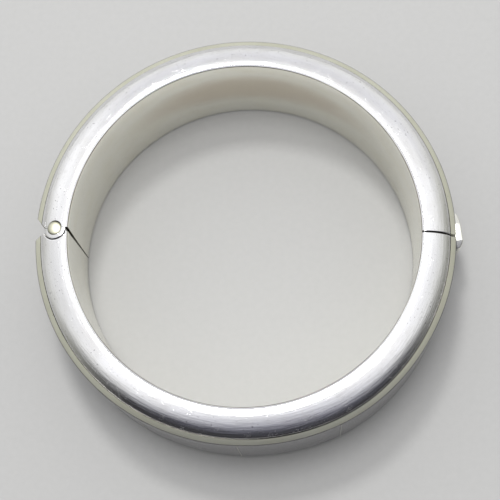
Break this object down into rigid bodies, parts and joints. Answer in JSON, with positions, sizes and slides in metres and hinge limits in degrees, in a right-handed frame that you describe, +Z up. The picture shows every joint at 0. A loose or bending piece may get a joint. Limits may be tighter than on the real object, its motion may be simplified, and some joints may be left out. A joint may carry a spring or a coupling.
{
  "type": "hinged bangle bracelet",
  "caption": "Hinged hollow silver bangle: two half rings with domed edges and a raised band, a pinned barrel hinge and a spring tongue clasp with a faceted thumb-piece.",
  "frame": {"origin": "centre of the bracelet's footprint at the surface it stands on, with the closed bracelet standing on one edge rim", "axes": "+Z up along the wrist axis, +X towards the clasp and its thumb-piece, -X towards the hinge pin; the half with the catch lies at +Y"},
  "size_m": [0.0736, 0.072, 0.02],
  "materials": {
    "liner_satin": "satin silver, fine lengthwise wear lines",
    "edge_polish": "polished silver with fine scratches",
    "band_polish": "polished silver, scored panel lines",
    "pin_silver": "filed and polished pin end",
    "thumb_polish": "polished facets",
    "spring_silver": "hard-rolled strip",
    "inner_silver": "unpolished sheet"
  },
  "bodies": {
    "back_half": {"back_liner": "liner_satin", "back_edge_shell_top": "edge_polish", "back_edge_shell_bottom": "edge_polish", "back_outer_wall": "inner_silver", "back_band": "band_polish", "back_clasp_end_plate": "inner_silver", "back_hinge_end_plate": "inner_silver", "catch_box": "inner_silver", "hinge_knuckle_top": "edge_polish", "hinge_knuckle_bottom": "edge_polish", "hinge_pin": "pin_silver"},
    "front_half": {"front_liner": "liner_satin", "front_edge_shell_top": "edge_polish", "front_edge_shell_bottom": "edge_polish", "front_outer_wall": "inner_silver", "front_band": "band_polish", "front_clasp_end_plate": "inner_silver", "front_hinge_end_plate": "inner_silver", "hinge_knuckle_middle": "edge_polish", "tongue_base_leaf": "spring_silver"},
    "latch_spring": {"tongue_spring_leaf": "spring_silver", "thumb_piece_neck": "spring_silver", "thumb_piece": "thumb_polish"}
  },
  "joints": [
    {"name": "hinge_swing", "type": "hinge", "parent": "back_half", "child": "front_half", "pos_m": [-0.03322, 0, 0.01], "axis": [0, 0, -1], "range_deg": [0, 35]},
    {"name": "thumb_press", "type": "hinge", "parent": "front_half", "child": "latch_spring", "pos_m": [0.03108, 0.0084, 0.01], "axis": [0, 0, -1], "range_deg": [0, 3.6], "stiffness_Nm_per_rad": 0.3}
  ]
}
